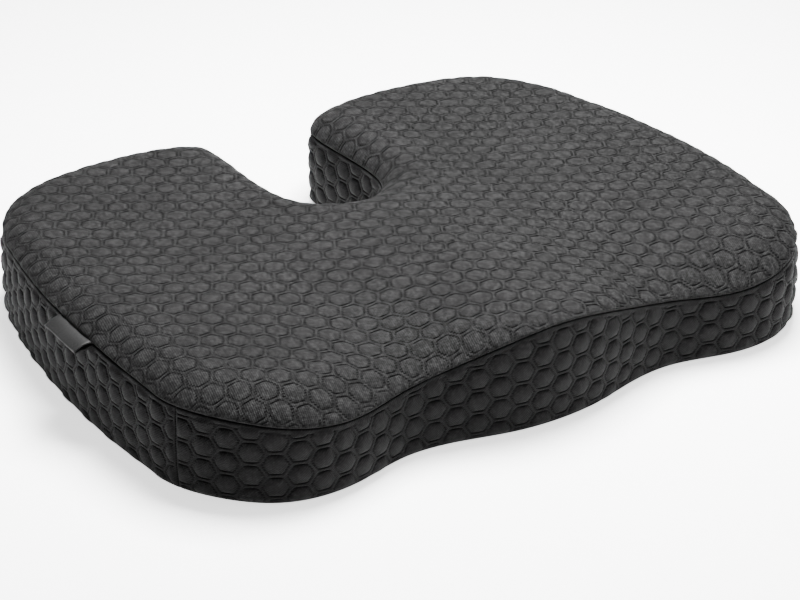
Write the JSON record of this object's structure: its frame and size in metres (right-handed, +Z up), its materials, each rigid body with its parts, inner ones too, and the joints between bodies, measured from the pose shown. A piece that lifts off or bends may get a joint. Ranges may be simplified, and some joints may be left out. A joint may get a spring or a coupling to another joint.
{
  "type": "seat cushion",
  "caption": "Contoured foam seat cushion with a tailbone notch, thigh troughs and a central ridge, in a hexagon-quilted knit cover with a side zip.",
  "frame": {"origin": "the middle of the cushion in plan, on the floor under it: the point of the mount named base. The side label, which sticks out 11 mm at the left, is left out of that middle", "axes": "+Z up, the height; +X to the right-hand side of someone looking at the thigh edge, the width, with the zip; -Y faces the thigh edge and +Y the tailbone notch"},
  "size_m": [0.461, 0.3476, 0.0699],
  "materials": {
    "memory_foam": "open-cell moulded memory foam with a fine moulded skin",
    "liner_knit": "thin off-white stretch knit",
    "quilted_knit_top": "charcoal spacer knit quilted in hexagons, matt with a soft sheen",
    "quilted_knit_border": "charcoal spacer knit quilted in rounder hexagons, matt",
    "non_slip_knit": "black knit with raised silicone grip dots",
    "zip_tape_cloth": "black woven herringbone tape",
    "zip_coil_nylon": "black nylon coil",
    "zip_metal": "black enamelled zinc",
    "label_tape": "dark grey woven ribbon, blank",
    "care_label_satin": "off-white satin ribbon, blank"
  },
  "bodies": {
    "cushion": {"foam_core": "memory_foam", "liner_upper": "liner_knit", "liner_lower": "liner_knit", "top_panel": "quilted_knit_top", "front_border": "quilted_knit_border", "left_border": "quilted_knit_border", "notch_border": "quilted_knit_border", "rear_right_border": "quilted_knit_border", "zip_border_upper": "quilted_knit_border", "zip_border_lower": "quilted_knit_border", "bottom_panel": "non_slip_knit", "zip_tape_upper": "zip_tape_cloth", "zip_tape_lower": "zip_tape_cloth", "zip_coil_upper": "zip_coil_nylon", "zip_coil_lower": "zip_coil_nylon", "zip_top_stop_upper": "zip_metal", "zip_top_stop_lower": "zip_metal", "zip_bottom_stop": "zip_metal", "brand_label": "label_tape", "care_label": "care_label_satin"},
    "zip_slider": {"zip_slider": "zip_metal"},
    "zip_pull": {"zip_pull_tab": "zip_metal"}
  },
  "joints": [
    {"name": "zip_travel", "type": "hinge", "parent": "cushion", "child": "zip_slider", "pos_m": [-0.375, -0.035, 0.028], "axis": [0, 0, -1], "range_deg": [0, 16.4]},
    {"name": "pull_flip", "type": "hinge", "parent": "zip_slider", "child": "zip_pull", "pos_m": [0.21413, 0.08638, 0.028], "axis": [0, 0, 1], "range_deg": [0, 175]}
  ]
}
